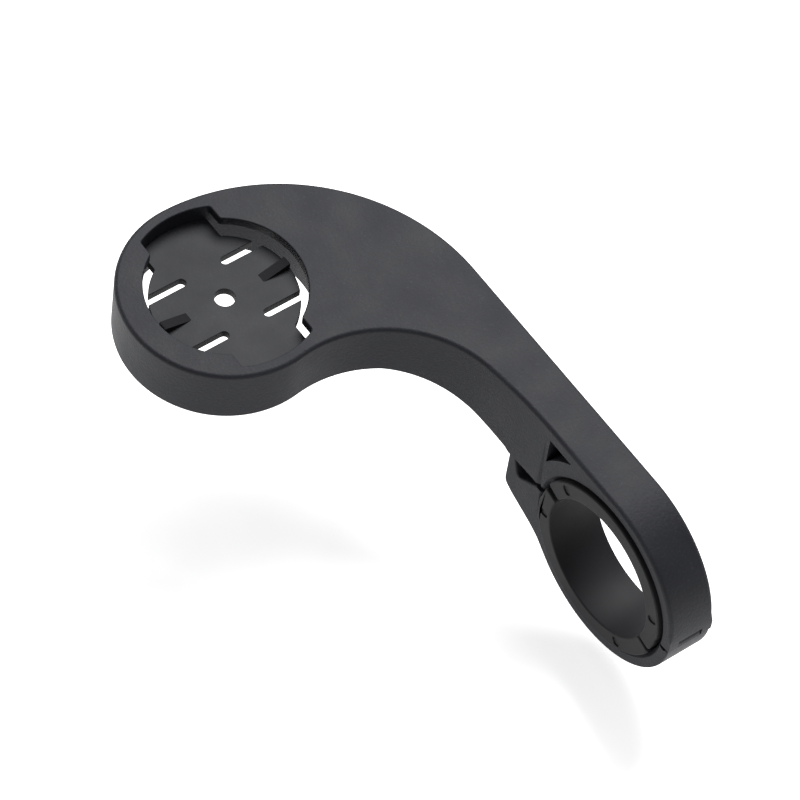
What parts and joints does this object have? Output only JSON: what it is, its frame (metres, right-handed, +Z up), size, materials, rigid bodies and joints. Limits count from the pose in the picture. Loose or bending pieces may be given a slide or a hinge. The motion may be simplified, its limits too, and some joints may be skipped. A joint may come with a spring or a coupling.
{
  "type": "handlebar mount for a cycling computer",
  "caption": "Out-front handlebar mount for a cycling computer: split clamp with liner, curved cantilever arm and quarter-turn socket.",
  "frame": {"origin": "centre of the handlebar bore, on the bar's axis and midway across the clamp", "axes": "+X along the handlebar, away from the side that the socket head is offset to; +Y forwards, from the bar towards the socket head; +Z up, square to the flat top face"},
  "size_m": [0.0558, 0.1054, 0.0371],
  "materials": {
    "nylon_body": "black glass-filled nylon, moulded, fine spark-eroded texture",
    "nylon_socket": "black glass-filled nylon, smoother in the socket",
    "liner": "black moulded thermoplastic, satin",
    "pin_steel": "ground stainless steel",
    "screw_black_steel": "black oxide steel",
    "washer_steel": "stamped stainless steel",
    "insert_brass": "turned brass"
  },
  "bodies": {
    "mount_body": {"arm": "nylon_body", "socket_floor": "nylon_socket", "thread_insert": "insert_brass", "hinge_pin": "pin_steel", "liner_upper": "liner"},
    "jaw": {"clamp_jaw": "nylon_body", "liner_lower": "liner"},
    "washer": {"screw_washer": "washer_steel"},
    "screw": {"clamp_screw": "screw_black_steel"}
  },
  "joints": [
    {"name": "screw_travel", "type": "slide", "parent": "mount_body", "child": "washer", "axis": [0, 0, -1], "range_m": [0, 0.005]},
    {"name": "screw_spin", "type": "hinge", "parent": "washer", "child": "screw", "pos_m": [0, 0.02, 0], "axis": [0, 0, -1], "range_deg": [0, 3600]},
    {"name": "jaw_swing", "type": "hinge", "parent": "mount_body", "child": "jaw", "pos_m": [0, -0.01716, -0.0011], "axis": [-1, 0, 0], "range_deg": [0, 6.6]}
  ],
  "couplings": [
    {"joint": "screw_spin", "follows": "screw_travel", "rad_per_m": 12566},
    {"joint": "jaw_swing", "follows": "screw_travel", "rad_per_m": 23}
  ]
}
